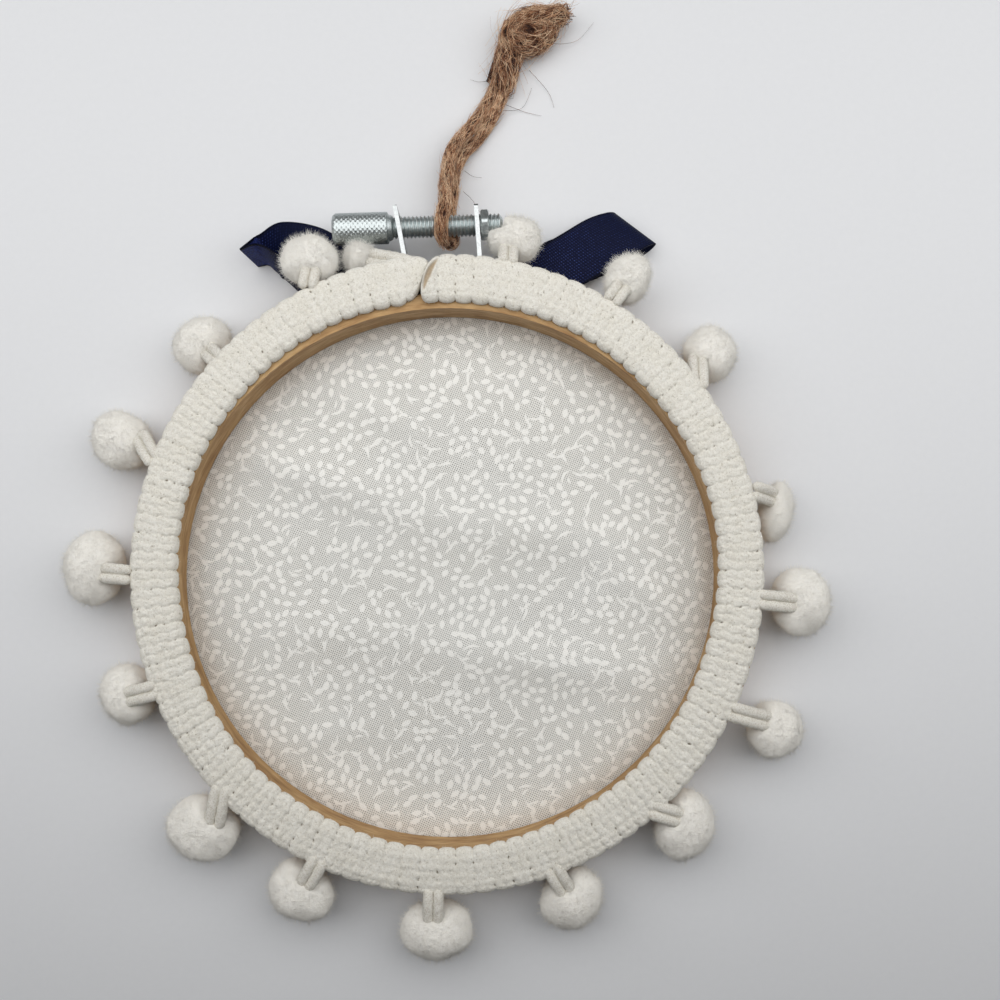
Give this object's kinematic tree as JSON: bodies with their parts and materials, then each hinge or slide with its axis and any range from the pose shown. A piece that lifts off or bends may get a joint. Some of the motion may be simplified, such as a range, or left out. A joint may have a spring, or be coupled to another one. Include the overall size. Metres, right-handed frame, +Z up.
{
  "type": "hoop embroidery art with a two-ring bamboo embroidery hoop",
  "caption": "Printed cotton in a bamboo embroidery hoop seen from the back, with a scalloped pompom braid, clamping screw, jute hanging loop and ribbon bow.",
  "frame": {"origin": "on the surface the hoop lies on, under the middle of its footprint with the hanging loop left out", "axes": "+Z up from the surface, out of the back of the hoop; +Y towards the screw and the hanging loop; +X to the right seen from the back"},
  "size_m": [0.1354, 0.1756, 0.0147],
  "materials": {
    "bamboo": "pale bamboo with fine darker grain, matt",
    "cotton_print": "plain-weave greige cotton with a white leafy vine print",
    "trim_yarn": "cream soft-spun yarn",
    "pompom_yarn": "cream short-pile pompom",
    "zinc_steel": "bright bluish zinc plating",
    "jute": "golden-brown fibrous two-ply jute",
    "navy_satin": "dark navy ribbed ribbon with a slight sheen"
  },
  "bodies": {
    "root": {"bow_knot": "navy_satin", "bow_loop_left": "navy_satin", "bow_loop_right": "navy_satin", "braid": "trim_yarn", "cloth": "cotton_print", "ear_left": "zinc_steel", "ear_right": "zinc_steel", "inner_ring": "bamboo", "nut": "zinc_steel", "outer_ring": "bamboo", "pompom_01": "pompom_yarn", "pompom_02": "pompom_yarn", "pompom_03": "pompom_yarn", "pompom_04": "pompom_yarn", "pompom_05": "pompom_yarn", "pompom_06": "pompom_yarn", "pompom_07": "pompom_yarn", "pompom_08": "pompom_yarn", "pompom_09": "pompom_yarn", "pompom_10": "pompom_yarn", "pompom_11": "pompom_yarn", "pompom_12": "pompom_yarn", "pompom_13": "pompom_yarn", "pompom_14": "pompom_yarn", "pompom_15": "pompom_yarn", "pompom_16": "pompom_yarn", "pompom_17": "pompom_yarn", "tie_01": "trim_yarn", "tie_02": "trim_yarn", "tie_03": "trim_yarn", "tie_04": "trim_yarn", "tie_05": "trim_yarn", "tie_06": "trim_yarn", "tie_07": "trim_yarn", "tie_08": "trim_yarn", "tie_09": "trim_yarn", "tie_10": "trim_yarn", "tie_11": "trim_yarn", "tie_12": "trim_yarn", "tie_13": "trim_yarn", "tie_14": "trim_yarn", "tie_15": "trim_yarn", "tie_16": "trim_yarn", "tie_17": "trim_yarn", "twine_end": "jute", "twine_knot": "jute", "twine_left": "jute", "twine_right": "jute"},
    "screw": {"screw": "zinc_steel"}
  },
  "joints": [
    {"name": "screw_turn", "type": "hinge", "parent": "root", "child": "screw", "pos_m": [0.00037, 0.06255, 0.00756], "axis": [0.9995, 0.0311, 0.0008], "continuous": true}
  ]
}
